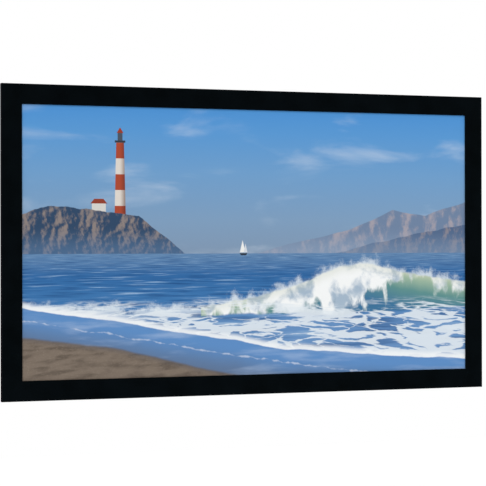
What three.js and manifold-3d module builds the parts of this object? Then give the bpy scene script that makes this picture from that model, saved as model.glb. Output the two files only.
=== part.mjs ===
// A fixed frame projector screen: a vinyl sheet, here with a picture thrown on it, stretched
// behind a wide black border.
// Four hollow aluminium rails, wrapped in black velvet, meet in mitred corners. L-shaped steel
// keys slide into the rails' two rear channels and set screws lock them. The sheet's webbing hem
// snaps onto press studs behind the border, a bar braces the two long rails, and the frame hangs
// by its outer channel on four wall brackets.
//
// Millimetres. X runs along the picture, Z is up and the picture faces -Y, with the origin at the
// centre of the whole screen. A place on the frame is given by two distances: `inset`, inwards
// from the frame's outer edge, and `depth`, back from the velvet's front face.

import * as THREE from "three";
import { mergeVertices } from "three/addons/utils/BufferGeometryUtils.js";
import Module from "manifold-3d";

const wasm = await Module();
wasm.setup();

// The picture and its border
const PICTURE_WIDTH = 2032;
const PICTURE_HEIGHT = 1143;
const BORDER_WIDTH = 85;

// Aluminium rail
const RAIL_DEPTH = 32;
const RAIL_WALL = 2;
const RAIL_CORNER_RADIUS = 2.5;
const LIP_LENGTH = 27.5; // thin flange that the hem snaps behind
const LIP_THICKNESS = 3;
const CHANNEL_DEPTH = 7;
const CHANNEL_MOUTH = 11;
const CHANNEL_LIP = 2;
const MITRE_SETBACK = 0.2; // each rail stops this short of the mitre line

// Velvet wrap
const VELVET_THICKNESS = 0.8;
const ADHESIVE_THICKNESS = 0.1;
const VELVET_RETURN = 8; // tucked round behind the lip

// Sheet, hem and press snaps
const SHEET_THICKNESS = 0.6;
const WELD_GAP = 0.1;
const WELD_WIDTH = 10; // the sheet's overlap on the hem
const HEM_WIDTH = 25;
const HEM_THICKNESS = 1.5;
const HEM_TO_RAIL = 1.6;
const HEM_STANDOFF = 3; // from the lip's back to the hem, taken up by the snaps
const SNAP_PITCH = 220;
const SNAP_TO_CORNER = 45;
const SNAP_TO_HEM_EDGE = 7.9;
const STUD_FLANGE_RADIUS = 4.6;
const STUD_FLANGE_THICKNESS = 0.5;
const STUD_NECK_RADIUS = 2.1;
const STUD_HEAD_RADIUS = 2.7;
const SOCKET_WALL = 2.2;
const CAP_RADIUS = 6.2;
const CAP_RIM_HEIGHT = 0.8;
const CAP_CROWN_RADIUS = 4.6;
const CAP_HEIGHT = 2.2;
const SNAP_ROOT = 0.6; // how far a snap half is sunk in what it is riveted to

// Corner keys and their set screws
const KEY_THICKNESS = 4;
const OUTER_KEY_REACH = 150; // from the frame's outer corner to the leg's end
const INNER_KEY_REACH = 135;
const OUTER_KEY_SCREWS = [74, 20]; // from the leg's end
const INNER_KEY_SCREWS = [29];
const SET_SCREW_RADIUS = 3;
const HEX_SOCKET_RADIUS = 1.75;
const HEX_SOCKET_DEPTH = 2.5;

// Bracing bar, its straps and their screws
const BAR_WIDTH = 40;
const BAR_DEPTH = 20;
const BAR_WALL = 1.6;
const STRAP_WIDTH = 30;
const STRAP_THICKNESS = 2.5;
const STRAP_ON_BAR = 44;
const STRAP_END_MARGIN = 11; // from a screw to the strap's end
const STRAP_CORNER_RADIUS = 4;
const CHANNEL_NUT_LENGTH = 24;
const CHANNEL_NUT_THICKNESS = 4;
const BOLT_RADIUS = 3;
const BOLT_HEAD_RADIUS = 5.5;
const BOLT_HEAD_RIM = 1.3;
const BOLT_CROWN_RADIUS = 3.8;
const BOLT_HEAD_HEIGHT = 3.2;
const BOLT_REACH = 9; // shank below the strap's back

// Wall brackets
const WALL_GAP = 8; // from the rail's back to the wall
const BRACKET_THICKNESS = 3;
const BRACKET_PLATE_HEIGHT = 45;
const BRACKET_TONGUE = 5;
const TOP_BRACKET_LENGTH = 160;
const BOTTOM_BRACKET_LENGTH = 80;
const BRACKET_SPACING = 1100; // between the two brackets of a rail
const SCREW_SLOT_LENGTH = 24;
const SCREW_SLOT_WIDTH = 7;
const SCREW_SLOT_MARGIN = 22; // from a slot's centre to the bracket's end
const SCREW_SLOT_BELOW_WEB = 26;

// Fits
const FIT_GAP = 0.3; // between two pieces that rest on or fit in each other
const SCREW_GAP = 0.3; // round a screw, in place of its thread

const CUT_OVERRUN = 1; // how far a cutting solid runs past the piece it cuts
const ROUND_STEPS = 12;
const SMALL_ROUND_STEPS = 8;
const CORNER_STEPS = 3;

// The picture on the sheet, a plain seascape in flat fields of colour from the bottom up. A
// field's top edge is a list of (across, up) points, as shares of the sheet's width and height.
// Where a lower field reaches higher, it stands in front.
const PICTURE_FIELDS = [
  // Dry sand, then wet sand
  { colour: 0x8f7d6c, top: [[0, 0.17], [0.2, 0.12], [0.42, 0.03], [0.5, 0], [1, 0]] },
  { colour: 0x7f93ba, top: [[0, 0.27], [0.25, 0.2], [0.55, 0.1], [1, 0.04]] },
  // White surf, with the green face of the wave behind it
  {
    colour: 0xdde7ec,
    top: [
      [0, 0.29], [0.25, 0.235], [0.45, 0.2], [0.55, 0.26],
      [0.65, 0.36], [0.74, 0.42], [0.82, 0.36], [1, 0.3],
    ],
  },
  { colour: 0x86a39c, top: [[0, 0.3], [0.55, 0.3], [0.74, 0.41], [0.88, 0.4], [1, 0.35]] },
  // Open sea
  { colour: 0x3c76b0, top: [[0, 0.46], [1, 0.46]] },
  // Headland on the left and a far ridge on the right
  {
    colour: 0x4d5c76,
    top: [[0, 0.6], [0.06, 0.635], [0.14, 0.62], [0.25, 0.6], [0.31, 0.52], [0.35, 0.46], [1, 0.46]],
  },
  {
    colour: 0x748bac,
    top: [[0, 0.46], [0.5, 0.46], [0.6, 0.5], [0.72, 0.55], [0.82, 0.62], [0.9, 0.6], [1, 0.66]],
  },
  // Red tower on the headland
  { colour: 0xb3543d, top: [[0.196, 0], [0.2, 0.84], [0.22, 0.84], [0.224, 0]] },
  // Haze, mid sky and high sky
  { colour: 0x9ab7d6, top: [[0, 0.68], [1, 0.7]] },
  { colour: 0x73a8da, top: [[0, 0.84], [1, 0.86]] },
  { colour: 0x5297d8, top: [[0, 1], [1, 1]] },
];

// Worked out from the values above
const frameWidth = PICTURE_WIDTH + 2 * BORDER_WIDTH;
const frameHeight = PICTURE_HEIGHT + 2 * BORDER_WIDTH;
const railInset = VELVET_THICKNESS + ADHESIVE_THICKNESS;
const lipTip = BORDER_WIDTH - railInset;
const lipBack = railInset + LIP_THICKNESS;
const boxEnd = lipTip - LIP_LENGTH;
const railBack = railInset + RAIL_DEPTH;
const channelWidth = (boxEnd - railInset - 3 * RAIL_WALL) / 2;
const channelStarts = [0, 1].map((i) => railInset + RAIL_WALL + i * (channelWidth + RAIL_WALL));
const channelCentres = channelStarts.map((start) => start + channelWidth / 2);
const channelBack = railBack - CHANNEL_LIP;
const channelFloor = channelBack - CHANNEL_DEPTH;
const hemStart = boxEnd + HEM_TO_RAIL;
const hemEnd = hemStart + HEM_WIDTH;
const hemFront = lipBack + HEM_STANDOFF;
const hemBack = hemFront + HEM_THICKNESS;
const snapLine = hemStart + SNAP_TO_HEM_EDGE;
const sheetEdge = hemEnd - WELD_WIDTH;
const sheetBack = hemFront - WELD_GAP;
const strapFront = railBack + FIT_GAP;
const strapBack = strapFront + STRAP_THICKNESS;
const wallDepth = railBack + WALL_GAP;

const material = (color, roughness, metalness = 0) =>
  new THREE.MeshStandardMaterial({ color, roughness, metalness });
const aluminium = material(0xb9bcbf, 0.42, 1);
const velvet = material(0x0a0d10, 1);
const litVinyl = new THREE.MeshStandardMaterial({ vertexColors: true, roughness: 0.9 });
const vinylBack = 0x222326;
const webbing = material(0x17181b, 0.95);
const zincSteel = material(0xa9adb0, 0.38, 1);
const blackSteel = material(0x1b1c1e, 0.45, 0.8);
const blackPaint = material(0x151617, 0.55);

// A closed geometry as a solid that can be joined and cut.
function solid(geometry) {
  const bare = geometry.clone();
  bare.deleteAttribute("normal");
  bare.deleteAttribute("uv");
  const merged = mergeVertices(bare);
  const vertProperties = new Float32Array(merged.attributes.position.array);
  const triVerts = new Uint32Array(merged.index.array);
  return new wasm.Manifold(new wasm.Mesh({ numProp: 3, vertProperties, triVerts }));
}

function geometryOf(made) {
  const mesh = made.getMesh();
  const geometry = new THREE.BufferGeometry();
  geometry.setAttribute("position", new THREE.BufferAttribute(mesh.vertProperties, 3));
  geometry.setIndex(new THREE.BufferAttribute(mesh.triVerts, 1));
  const faceted = geometry.toNonIndexed();
  faceted.computeVertexNormals();
  return faceted;
}

const joined = (first, others) =>
  geometryOf(others.reduce((sum, geometry) => sum.add(solid(geometry)), solid(first)));

const cut = (first, others) =>
  geometryOf(others.reduce((rest, geometry) => rest.subtract(solid(geometry)), solid(first)));

const polygon = (points) => new THREE.Shape(points.map(([x, y]) => new THREE.Vector2(x, y)));

const extruded = (shape, depth) =>
  new THREE.ExtrudeGeometry(shape, { depth, bevelEnabled: false, curveSegments: CORNER_STEPS });

// A flat plate drawn in (x, inset) and given its thickness in depth.
const plate = (shape, front, thickness) =>
  extruded(shape, thickness).rotateX(-Math.PI / 2).translate(0, front, 0);

// A section drawn in (inset, depth), run along X for a set length with square ends.
const squareBar = (section, length) =>
  extruded(section, length).rotateY(Math.PI / 2).translate(-length / 2, 0, 0);

// A section drawn in (inset, depth), run along X and cut at 45 degrees at both ends, so that
// four of them close a frame of that outer length.
function mitredBar(section, outerLength) {
  const geometry = extruded(section, 1);
  const position = geometry.getAttribute("position");
  for (let i = 0; i < position.count; i++) {
    const inset = position.getX(i);
    const half = outerLength / 2 - inset - MITRE_SETBACK;
    position.setXYZ(i, position.getZ(i) > 0.5 ? half : -half, position.getY(i), -inset);
  }
  geometry.computeVertexNormals();
  return geometry;
}

// A turned piece whose axis is the depth direction: its profile is (radius, depth) points.
const turned = (profile, steps) =>
  new THREE.LatheGeometry(profile.map(([radius, depth]) => new THREE.Vector2(radius, depth)), steps);

const rod = (radius, front, back, steps) =>
  new THREE.CylinderGeometry(radius, radius, back - front, steps).translate(0, (front + back) / 2, 0);

function circle(radius, steps, x, y) {
  const path = new THREE.Path();
  for (let i = 0; i < steps; i++) {
    const turn = (i / steps) * 2 * Math.PI;
    const point = [x + radius * Math.cos(turn), y + radius * Math.sin(turn)];
    if (i) path.lineTo(...point);
    else path.moveTo(...point);
  }
  path.closePath();
  return path;
}

// The rail's section: a box with two channels open at the back, and the lip in front.
function railSection() {
  const shape = new THREE.Shape();
  const lipRadius = LIP_THICKNESS / 2;
  shape.moveTo(railInset, railBack);
  shape.lineTo(railInset, railInset + RAIL_CORNER_RADIUS);
  shape.absarc(
    railInset + RAIL_CORNER_RADIUS,
    railInset + RAIL_CORNER_RADIUS,
    RAIL_CORNER_RADIUS,
    Math.PI,
    1.5 * Math.PI,
  );
  shape.lineTo(lipTip - lipRadius, railInset);
  shape.absarc(lipTip - lipRadius, railInset + lipRadius, lipRadius, -Math.PI / 2, Math.PI / 2);
  shape.lineTo(boxEnd, lipBack);
  shape.lineTo(boxEnd, railBack);
  for (const i of [1, 0]) {
    const start = channelStarts[i];
    const end = start + channelWidth;
    const mouthStart = channelCentres[i] - CHANNEL_MOUTH / 2;
    const mouthEnd = channelCentres[i] + CHANNEL_MOUTH / 2;
    shape.lineTo(mouthEnd, railBack);
    shape.lineTo(mouthEnd, channelBack);
    shape.lineTo(end, channelBack);
    shape.lineTo(end, channelFloor);
    shape.lineTo(start, channelFloor);
    shape.lineTo(start, channelBack);
    shape.lineTo(mouthStart, channelBack);
    shape.lineTo(mouthStart, railBack);
  }
  shape.closePath();
  return shape;
}

// The closed chamber in front of one channel.
function chamberSection(channel) {
  const start = channelStarts[channel];
  const end = start + channelWidth;
  const front = railInset + RAIL_WALL;
  const back = channelFloor - RAIL_WALL;
  return polygon([
    [start, front],
    [end, front],
    [end, back],
    [start, back],
  ]);
}

// The velvet's section: a skin round the rail's outer side, its face and its lip.
function velvetSection() {
  const shape = new THREE.Shape();
  const inner = VELVET_THICKNESS;
  const cornerCentre = railInset + RAIL_CORNER_RADIUS;
  const cornerInner = RAIL_CORNER_RADIUS + ADHESIVE_THICKNESS;
  const cornerOuter = cornerInner + VELVET_THICKNESS;
  const tipCentre = [lipTip - LIP_THICKNESS / 2, railInset + LIP_THICKNESS / 2];
  const tipInner = LIP_THICKNESS / 2 + ADHESIVE_THICKNESS;
  const tipOuter = tipInner + VELVET_THICKNESS;
  const returnEnd = lipTip - VELVET_RETURN;
  const down = -Math.PI / 2;
  const up = Math.PI / 2;
  shape.moveTo(0, railBack);
  shape.absarc(cornerCentre, cornerCentre, cornerOuter, Math.PI, 1.5 * Math.PI);
  shape.absarc(...tipCentre, tipOuter, down, up);
  shape.lineTo(returnEnd, tipCentre[1] + tipOuter);
  shape.lineTo(returnEnd, tipCentre[1] + tipInner);
  shape.absarc(...tipCentre, tipInner, up, down, true);
  shape.absarc(cornerCentre, cornerCentre, cornerInner, 1.5 * Math.PI, Math.PI, true);
  shape.lineTo(inner, railBack);
  shape.closePath();
  return shape;
}

const hemSection = () =>
  polygon([
    [hemStart, hemFront],
    [hemEnd, hemFront],
    [hemEnd, hemBack],
    [hemStart, hemBack],
  ]);

// Where the snaps sit along a side of the frame.
function snapPlaces(outerLength) {
  const span = outerLength - 2 * (snapLine + SNAP_TO_CORNER);
  const gaps = Math.max(1, Math.round(span / SNAP_PITCH));
  return Array.from({ length: gaps + 1 }, (_, i) => -span / 2 + (i * span) / gaps);
}

// Press stud riveted behind the lip: a flange, a neck and a rounded head.
function stud() {
  const flange = lipBack + STUD_FLANGE_THICKNESS;
  const head = hemFront - FIT_GAP;
  const neckTop = (flange + head) / 2;
  return turned(
    [
      [0, lipBack - SNAP_ROOT],
      [STUD_FLANGE_RADIUS, lipBack - SNAP_ROOT],
      [STUD_FLANGE_RADIUS, flange],
      [STUD_NECK_RADIUS, flange],
      [STUD_HEAD_RADIUS, neckTop],
      [STUD_NECK_RADIUS, head],
      [0, head],
    ],
    SMALL_ROUND_STEPS,
  );
}

// Socket half of a snap, a ring in front of the hem that closes round the stud.
function socket() {
  const bore = STUD_HEAD_RADIUS + FIT_GAP;
  const front = lipBack + STUD_FLANGE_THICKNESS + FIT_GAP;
  const back = hemFront + SNAP_ROOT;
  return turned(
    [
      [bore, front],
      [bore + SOCKET_WALL, front],
      [bore + SOCKET_WALL, back],
      [bore, back],
      [bore, front],
    ],
    SMALL_ROUND_STEPS,
  );
}

// Cap half of a snap, a low dome on the back of the hem.
function cap() {
  return turned(
    [
      [0, hemBack - SNAP_ROOT],
      [CAP_RADIUS, hemBack - SNAP_ROOT],
      [CAP_RADIUS, hemBack + CAP_RIM_HEIGHT],
      [CAP_CROWN_RADIUS, hemBack + CAP_HEIGHT],
      [0, hemBack + CAP_HEIGHT],
    ],
    SMALL_ROUND_STEPS,
  );
}

const atSnaps = (outerLength, make) =>
  snapPlaces(outerLength).map((x) => make().translate(x, 0, -snapLine));

// L-shaped key for one channel, drawn from the frame's outer corner.
function keyGeometry(channel, reach, screwPlaces) {
  const near = channelStarts[channel] + FIT_GAP;
  const far = channelStarts[channel] + channelWidth - FIT_GAP;
  const shape = polygon([
    [near, near],
    [reach, near],
    [reach, far],
    [far, far],
    [far, reach],
    [near, reach],
  ]);
  const centre = channelCentres[channel];
  const screwHole = (x, inset) => circle(SET_SCREW_RADIUS + SCREW_GAP, SMALL_ROUND_STEPS, x, inset);
  for (const place of screwPlaces) {
    shape.holes.push(screwHole(place, centre), screwHole(centre, place));
  }
  return plate(shape, channelBack - FIT_GAP - KEY_THICKNESS, KEY_THICKNESS);
}

const hexSocket = (back) => rod(HEX_SOCKET_RADIUS, back - HEX_SOCKET_DEPTH, back + CUT_OVERRUN, 6);

// Set screw that stands on the channel's floor and pushes the key against the channel's lips.
function setScrew() {
  const front = channelFloor + FIT_GAP;
  return cut(rod(SET_SCREW_RADIUS, front, channelBack, SMALL_ROUND_STEPS), [hexSocket(channelBack)]);
}

// Button head bolt of a strap.
function strapBolt() {
  const under = strapBack + FIT_GAP;
  const top = under + BOLT_HEAD_HEIGHT;
  const body = turned(
    [
      [0, strapBack - BOLT_REACH],
      [BOLT_RADIUS, strapBack - BOLT_REACH],
      [BOLT_RADIUS, under],
      [BOLT_HEAD_RADIUS, under],
      [BOLT_HEAD_RADIUS, under + BOLT_HEAD_RIM],
      [BOLT_CROWN_RADIUS, top],
      [0, top],
    ],
    ROUND_STEPS,
  );
  return cut(body, [hexSocket(top)]);
}

const boltHole = (x, inset) => circle(BOLT_RADIUS + SCREW_GAP, ROUND_STEPS, x, inset);

// A flat plate with rounded corners, centred on X, from one inset to another.
function roundedPlate(width, from, to, radius) {
  const half = width / 2;
  const shape = new THREE.Shape();
  shape.absarc(half - radius, from + radius, radius, -Math.PI / 2, 0);
  shape.absarc(half - radius, to - radius, radius, 0, Math.PI / 2);
  shape.absarc(radius - half, to - radius, radius, Math.PI / 2, Math.PI);
  shape.absarc(radius - half, from + radius, radius, Math.PI, 1.5 * Math.PI);
  shape.closePath();
  return shape;
}

// The strap's two bolts: one in the rail's inner channel, one in the bar.
const strapBoltInsets = [channelCentres[1], boxEnd + STRAP_ON_BAR - STRAP_END_MARGIN];

function strapGeometry() {
  const from = strapBoltInsets[0] - STRAP_END_MARGIN;
  const shape = roundedPlate(STRAP_WIDTH, from, boxEnd + STRAP_ON_BAR, STRAP_CORNER_RADIUS);
  for (const inset of strapBoltInsets) shape.holes.push(boltHole(0, inset));
  return plate(shape, strapFront, STRAP_THICKNESS);
}

function channelNutGeometry() {
  const half = channelWidth / 2 - FIT_GAP;
  const shape = polygon([
    [-CHANNEL_NUT_LENGTH / 2, channelCentres[1] - half],
    [CHANNEL_NUT_LENGTH / 2, channelCentres[1] - half],
    [CHANNEL_NUT_LENGTH / 2, channelCentres[1] + half],
    [-CHANNEL_NUT_LENGTH / 2, channelCentres[1] + half],
  ]);
  shape.holes.push(boltHole(0, channelCentres[1]));
  return plate(shape, channelBack - FIT_GAP - CHANNEL_NUT_THICKNESS, CHANNEL_NUT_THICKNESS);
}

// Rectangular tube that stands between the long rails, flush with their backs.
function barGeometry() {
  const length = frameHeight - 2 * (boxEnd + FIT_GAP);
  const front = railBack - BAR_DEPTH;
  const half = BAR_WIDTH / 2;
  const section = polygon([
    [-half, front],
    [half, front],
    [half, railBack],
    [-half, railBack],
  ]);
  section.holes.push(
    polygon([
      [-half + BAR_WALL, front + BAR_WALL],
      [-half + BAR_WALL, railBack - BAR_WALL],
      [half - BAR_WALL, railBack - BAR_WALL],
      [half - BAR_WALL, front + BAR_WALL],
    ]),
  );
  const tube = extruded(section, length).translate(0, 0, -length / 2);
  const boltHeight = frameHeight / 2 - strapBoltInsets[1];
  const holeFront = railBack - BAR_WALL - CUT_OVERRUN;
  const hole = rod(BOLT_RADIUS + SCREW_GAP, holeFront, railBack + CUT_OVERRUN, ROUND_STEPS);
  return cut(tube, [boltHeight, -boltHeight].map((z) => hole.clone().translate(0, 0, z)));
}

// Wall bracket: a screw plate on the wall, a web into the rail's outer channel, and a tongue that
// turns up behind the channel's lip. On the top rail "up" is outwards, on the bottom rail inwards.
function bracketGeometry(isTop, length) {
  const mouthEdge = channelCentres[0] + ((isTop ? -1 : 1) * CHANNEL_MOUTH) / 2;
  const up = isTop ? -1 : 1;
  const webTop = mouthEdge - up * FIT_GAP;
  const webBottom = webTop - up * BRACKET_THICKNESS;
  const tongueTop = webTop + up * BRACKET_TONGUE;
  const tongueBack = channelBack - FIT_GAP;
  const tongueFront = tongueBack - BRACKET_THICKNESS;
  const plateStart = isTop ? webTop : webBottom;
  const plateEnd = plateStart + BRACKET_PLATE_HEIGHT;
  const plateFront = wallDepth - BRACKET_THICKNESS;
  const points = isTop
    ? [
        [tongueTop, tongueFront],
        [webBottom, tongueFront],
        [webBottom, plateFront],
        [plateEnd, plateFront],
        [plateEnd, wallDepth],
        [webTop, wallDepth],
        [webTop, tongueBack],
        [tongueTop, tongueBack],
      ]
    : [
        [webBottom, tongueFront],
        [tongueTop, tongueFront],
        [tongueTop, tongueBack],
        [webTop, tongueBack],
        [webTop, plateFront],
        [plateEnd, plateFront],
        [plateEnd, wallDepth],
        [webBottom, wallDepth],
      ];
  const bracket = squareBar(polygon(points), length);
  const slotInset = plateStart + SCREW_SLOT_BELOW_WEB;
  const slots = [-1, 1].map((side) => {
    const x = side * (length / 2 - SCREW_SLOT_MARGIN);
    const radius = SCREW_SLOT_WIDTH / 2;
    const reach = SCREW_SLOT_LENGTH / 2 - radius;
    const slot = new THREE.Shape();
    slot.absarc(x + reach, slotInset, radius, -Math.PI / 2, Math.PI / 2);
    slot.absarc(x - reach, slotInset, radius, Math.PI / 2, 1.5 * Math.PI);
    slot.closePath();
    return plate(slot, plateFront - CUT_OVERRUN, BRACKET_THICKNESS + 2 * CUT_OVERRUN);
  });
  return cut(bracket, slots);
}

// How high a field's top edge is at one place across the picture.
function heightAt(edge, across) {
  const next = edge.findIndex(([place]) => place >= across);
  if (next <= 0) return edge.at(next)[1];
  const [fromAcross, fromUp] = edge[next - 1];
  const [toAcross, toUp] = edge[next];
  return fromUp + ((across - fromAcross) / (toAcross - fromAcross)) * (toUp - fromUp);
}

// The sheet, with its front divided into upright columns and each column into the fields.
function sheetGeometry(width, height) {
  const front = -SHEET_THICKNESS / 2;
  const back = SHEET_THICKNESS / 2;
  const positions = [];
  const colours = [];

  // Adds a flat face. Corners in one place are joined, so a field that ends adds no sliver.
  function addFace(corners, hex) {
    const [first, ...others] = corners.filter((corner, i) => {
      const next = corners[(i + 1) % corners.length];
      return corner.some((value, axis) => value !== next[axis]);
    });
    const colour = new THREE.Color(hex).toArray();
    for (let i = 1; i < others.length; i++) {
      positions.push(...first, ...others[i - 1], ...others[i]);
      colours.push(...colour, ...colour, ...colour);
    }
  }

  const edges = PICTURE_FIELDS.map((field) => field.top);
  const places = [...new Set(edges.flatMap((edge) => edge.map(([across]) => across)))];
  const columns = places.sort((a, b) => a - b).map((across) => {
    const x = (across - 0.5) * width;
    let up = 0;
    const ups = edges.map((edge) => (up = Math.max(up, heightAt(edge, across))));
    return [0, ...ups].map((share) => [x, front, (share - 0.5) * height]);
  });
  const behind = ([x, , z]) => [x, back, z];

  for (let i = 1; i < columns.length; i++) {
    const [left, right] = [columns[i - 1], columns[i]];
    PICTURE_FIELDS.forEach(({ colour }, k) => {
      addFace([left[k], right[k], right[k + 1], left[k + 1]], colour);
    });
    const [leftTop, rightTop] = [left.at(-1), right.at(-1)];
    addFace([leftTop, rightTop, behind(rightTop), behind(leftTop)], vinylBack);
    addFace([left[0], behind(left[0]), behind(right[0]), right[0]], vinylBack);
    addFace([left[0], leftTop, rightTop, right[0]].map(behind), vinylBack);
  }
  const [leftEnd, rightEnd] = [columns[0], columns.at(-1)];
  addFace([behind(leftEnd[0]), ...leftEnd, behind(leftEnd.at(-1))], vinylBack);
  addFace([behind(rightEnd.at(-1)), ...rightEnd.toReversed(), behind(rightEnd[0])], vinylBack);

  const geometry = new THREE.BufferGeometry();
  geometry.setAttribute("position", new THREE.Float32BufferAttribute(positions, 3));
  geometry.setAttribute("color", new THREE.Float32BufferAttribute(colours, 3));
  geometry.computeVertexNormals();
  return geometry;
}

const screen = new THREE.Group();
screen.position.y = -wallDepth / 2;

function addMesh(parent, name, geometry, finish) {
  const mesh = new THREE.Mesh(geometry, finish);
  mesh.name = name;
  parent.add(mesh);
  return mesh;
}

// Each side of the frame is built as the top one and turned about Y into its place.
const sides = [
  { name: "top", quarterTurns: 0, length: frameWidth, fromCentre: frameHeight / 2 },
  { name: "right", quarterTurns: 1, length: frameHeight, fromCentre: frameWidth / 2 },
  { name: "bottom", quarterTurns: 2, length: frameWidth, fromCentre: frameHeight / 2 },
  { name: "left", quarterTurns: 3, length: frameHeight, fromCentre: frameWidth / 2 },
];

for (const { name, quarterTurns, length, fromCentre } of sides) {
  const turn = new THREE.Group();
  turn.rotation.y = (quarterTurns * Math.PI) / 2;
  const side = new THREE.Group();
  side.position.z = fromCentre;
  turn.add(side);
  screen.add(turn);
  const chambers = [0, 1].map((i) => mitredBar(chamberSection(i), length + 2 * CUT_OVERRUN));
  const rail = cut(mitredBar(railSection(), length), chambers);
  addMesh(side, `${name}_rail`, joined(rail, atSnaps(length, stud)), aluminium);
  addMesh(side, `${name}_velvet`, mitredBar(velvetSection(), length), velvet);
  const snaps = [...atSnaps(length, socket), ...atSnaps(length, cap)];
  addMesh(side, `${name}_hem`, joined(mitredBar(hemSection(), length), snaps), webbing);

  const isTop = name === "top";
  if (!isTop && name !== "bottom") continue;
  addMesh(side, `${name}_bar_strap`, strapGeometry(), zincSteel);
  addMesh(side, `${name}_channel_nut`, channelNutGeometry(), zincSteel);
  ["rail", "bar"].forEach((place, i) => {
    const bolt = addMesh(side, `${name}_strap_${place}_bolt`, strapBolt(), blackSteel);
    bolt.position.z = -strapBoltInsets[i];
  });
  for (const hand of ["left", "right"]) {
    const bracketLength = isTop ? TOP_BRACKET_LENGTH : BOTTOM_BRACKET_LENGTH;
    const geometry = bracketGeometry(isTop, bracketLength);
    const bracket = addMesh(side, `${name}_${hand}_wall_bracket`, geometry, aluminium);
    // The bottom side is turned half round, which swaps its left and right.
    const toRight = (hand === "right") === isTop ? 1 : -1;
    bracket.position.x = (toRight * BRACKET_SPACING) / 2;
  }
}

// The corners, each built as the top left one and turned about Y into its place.
const corners = [
  { name: "top_left", quarterTurns: 0, x: -1, z: 1 },
  { name: "top_right", quarterTurns: 1, x: 1, z: 1 },
  { name: "bottom_right", quarterTurns: 2, x: 1, z: -1 },
  { name: "bottom_left", quarterTurns: 3, x: -1, z: -1 },
];
const fromCorner = (reach, margins) => margins.map((margin) => reach - margin);
const keys = [
  {
    name: "outer",
    channel: 0,
    reach: OUTER_KEY_REACH,
    screws: fromCorner(OUTER_KEY_REACH, OUTER_KEY_SCREWS),
  },
  {
    name: "inner",
    channel: 1,
    reach: INNER_KEY_REACH,
    screws: fromCorner(INNER_KEY_REACH, INNER_KEY_SCREWS),
  },
];

for (const { name, quarterTurns, x, z } of corners) {
  const corner = new THREE.Group();
  corner.position.set((x * frameWidth) / 2, 0, (z * frameHeight) / 2);
  corner.rotation.y = (quarterTurns * Math.PI) / 2;
  screen.add(corner);
  for (const key of keys) {
    const title = `${name}_${key.name}`;
    addMesh(corner, `${title}_key`, keyGeometry(key.channel, key.reach, key.screws), zincSteel);
    const centre = channelCentres[key.channel];
    const places = key.screws.flatMap((place) => [[place, centre], [centre, place]]);
    places.forEach(([along, down], i) => {
      const screw = addMesh(corner, `${title}_set_screw_${i + 1}`, setScrew(), blackSteel);
      screw.position.set(along, 0, -down);
    });
  }
}

addMesh(screen, "bracing_bar", barGeometry(), blackPaint);

const sheetWidth = frameWidth - 2 * sheetEdge;
const sheetHeight = frameHeight - 2 * sheetEdge;
const sheet = sheetGeometry(sheetWidth, sheetHeight);
addMesh(screen, "projection_sheet", sheet, litVinyl).position.y = sheetBack - SHEET_THICKNESS / 2;

export default screen;
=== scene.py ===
# %% [markdown]
# # A fixed frame projector screen
#
# The real thing is a vinyl sheet that press snaps stretch behind a wide black velvet border. The
# border is wrapped round hollow aluminium rails, which steel keys join at the corners, and the
# whole frame hangs on wall brackets. The sheet shows a picture, as it does under a projector.
#
# The frame is loaded first. It holds every piece at its real size, so all that follows takes its
# places from it and only adds finish and fine shape.

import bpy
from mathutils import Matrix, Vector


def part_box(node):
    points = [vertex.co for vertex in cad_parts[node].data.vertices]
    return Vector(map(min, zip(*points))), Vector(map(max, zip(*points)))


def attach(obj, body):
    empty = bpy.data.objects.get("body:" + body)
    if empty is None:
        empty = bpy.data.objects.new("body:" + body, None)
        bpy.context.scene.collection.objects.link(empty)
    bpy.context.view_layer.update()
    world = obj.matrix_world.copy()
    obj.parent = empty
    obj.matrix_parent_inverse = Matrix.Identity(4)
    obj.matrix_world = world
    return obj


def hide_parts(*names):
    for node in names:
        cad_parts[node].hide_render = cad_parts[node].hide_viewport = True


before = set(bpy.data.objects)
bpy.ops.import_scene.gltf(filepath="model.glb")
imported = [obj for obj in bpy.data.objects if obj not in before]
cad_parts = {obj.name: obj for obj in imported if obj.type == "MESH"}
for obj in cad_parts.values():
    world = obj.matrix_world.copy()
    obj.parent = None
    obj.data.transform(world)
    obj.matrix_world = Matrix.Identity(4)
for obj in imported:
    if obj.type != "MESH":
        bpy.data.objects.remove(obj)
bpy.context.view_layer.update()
print("CAD nodes:", len(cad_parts))

# %% [markdown]
# Blender counts in metres, and so does the frame. Sizes below are written in millimetres, times
# `MM`.

# %% Imports and units
import math

import bpy
from mathutils import Matrix, Vector

MM = 0.001

# %% [markdown]
# ## Measures
#
# Most sizes are read from the frame. Walls and radii that a box can't give are written once,
# where they are first needed. Y runs back from the velvet's front face, which is `FRONT`.

# %% Measures
velvet_low, velvet_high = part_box("top_velvet")
FRONT = velvet_low.y
FRAME_WIDTH = 2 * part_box("right_velvet")[1].x
FRAME_HEIGHT = 2 * velvet_high.z
BORDER = velvet_high.z - velvet_low.z
RAIL_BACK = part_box("top_rail")[1].y
SETBACK = 0.2 * MM  # each length stops this short of the mitre line

print(f"frame {FRAME_WIDTH:.4f} x {FRAME_HEIGHT:.4f} m, border {BORDER / MM:.1f} mm")

# %% [markdown]
# ## Helpers for materials
#
# A colour is written as it looks on a screen, in sRGB hex, and turned to linear once. One function
# adds a node with its settings and links and gives back an output, so that nodes can be nested
# like a formula.

# %% Colour and nodes
def linear(hex_colour, alpha=1.0):
    """An sRGB colour such as '0a0d10' as the linear RGBA that Blender shades with."""
    shares = [int(hex_colour[i : i + 2], 16) / 255 for i in (0, 2, 4)]
    return [s / 12.92 if s <= 0.04045 else ((s + 0.055) / 1.055) ** 2.4 for s in shares] + [alpha]


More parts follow.
